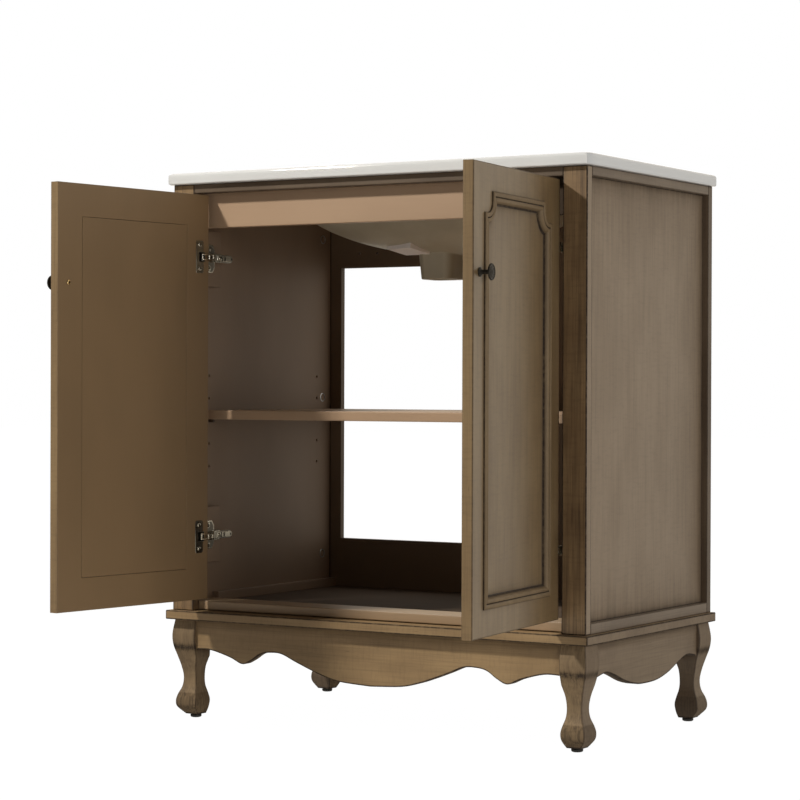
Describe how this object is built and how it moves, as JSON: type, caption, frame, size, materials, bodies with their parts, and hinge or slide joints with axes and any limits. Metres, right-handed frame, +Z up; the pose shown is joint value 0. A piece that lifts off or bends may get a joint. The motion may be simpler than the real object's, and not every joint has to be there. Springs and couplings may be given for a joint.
{
  "type": "bathroom vanity unit",
  "caption": "Freestanding bathroom vanity with inset panelled doors on concealed hinges, a shelf, cabriole legs, wavy aprons and a ceramic basin top.",
  "frame": {"origin": "on the floor, in the middle of the bounding box with both doors open", "axes": "+Z up, +X to the right when facing the doors, the doors are towards -Y"},
  "size_m": [0.7648, 0.7686, 0.8785],
  "materials": {
    "stained_wood": "satin, dark glaze",
    "panel_wood": "satin",
    "tan_board": "satin",
    "ceramic": "glossy white glaze",
    "pad": "matte",
    "nickel": "nickel plated",
    "zinc": "zinc plated",
    "bronze": "dark bronze, satin",
    "glide_rubber": "matte"
  },
  "bodies": {
    "cabinet": {"basin_top": "ceramic", "basin_pad": "pad", "plinth_board": "stained_wood", "leg_front_left": "stained_wood", "leg_front_right": "stained_wood", "leg_back_left": "stained_wood", "leg_back_right": "stained_wood", "leg_bolts": "zinc", "leg_glides": "glide_rubber", "front_apron": "stained_wood", "side_apron_left": "stained_wood", "side_apron_right": "stained_wood", "front_post_left": "stained_wood", "front_post_right": "stained_wood", "back_post_left": "stained_wood", "back_post_right": "stained_wood", "side_panel_left": "panel_wood", "side_panel_right": "panel_wood", "side_top_rail_left": "stained_wood", "side_top_rail_right": "stained_wood", "side_bottom_rail_left": "stained_wood", "side_bottom_rail_right": "stained_wood", "face_top_rail": "stained_wood", "inner_top_rail": "tan_board", "floor_front_rail": "tan_board", "floor_panel": "panel_wood", "floor_cleat_left": "panel_wood", "floor_cleat_right": "panel_wood", "back_panel": "panel_wood", "hinge_blocks": "panel_wood", "hinge_plates": "nickel", "hinge_arms": "nickel", "hinge_pins": "nickel", "hinge_screws": "nickel", "cam_locks": "zinc", "shelf_pins": "zinc"},
    "shelf": {"shelf": "tan_board"},
    "left_door": {"left_door_frame": "stained_wood", "left_door_panel": "panel_wood", "left_door_moulding": "stained_wood", "left_knob": "bronze", "left_knob_screw": "bronze", "left_hinge_cups": "nickel"},
    "left_links": {"left_hinge_links": "nickel"},
    "right_door": {"right_door_frame": "stained_wood", "right_door_panel": "panel_wood", "right_door_moulding": "stained_wood", "right_knob": "bronze", "right_knob_screw": "bronze", "right_hinge_cups": "nickel"},
    "right_links": {"right_hinge_links": "nickel"}
  },
  "joints": [
    {"name": "left_door_hinge", "type": "hinge", "parent": "cabinet", "child": "left_door", "pos_m": [-0.3246, -0.06174, 0.519], "axis": [0, 0, 1], "range_deg": [0, 97]},
    {"name": "left_link_pivot", "type": "hinge", "parent": "cabinet", "child": "left_links", "pos_m": [-0.3145, -0.03674, 0.519], "axis": [0, 0, 1], "range_deg": [0, 71.5]},
    {"name": "right_door_hinge", "type": "hinge", "parent": "cabinet", "child": "right_door", "pos_m": [0.3246, -0.06174, 0.519], "axis": [0, 0, -1], "range_deg": [0, 97]},
    {"name": "right_link_pivot", "type": "hinge", "parent": "cabinet", "child": "right_links", "pos_m": [0.3145, -0.03674, 0.519], "axis": [0, 0, -1], "range_deg": [0, 71.5]},
    {"name": "shelf_lift", "type": "slide", "parent": "cabinet", "child": "shelf", "axis": [0, 0, 1], "range_m": [0, 0.012]}
  ],
  "couplings": [
    {"joint": "left_link_pivot", "follows": "left_door_hinge", "ratio": 0.736},
    {"joint": "right_link_pivot", "follows": "right_door_hinge", "ratio": 0.736}
  ]
}
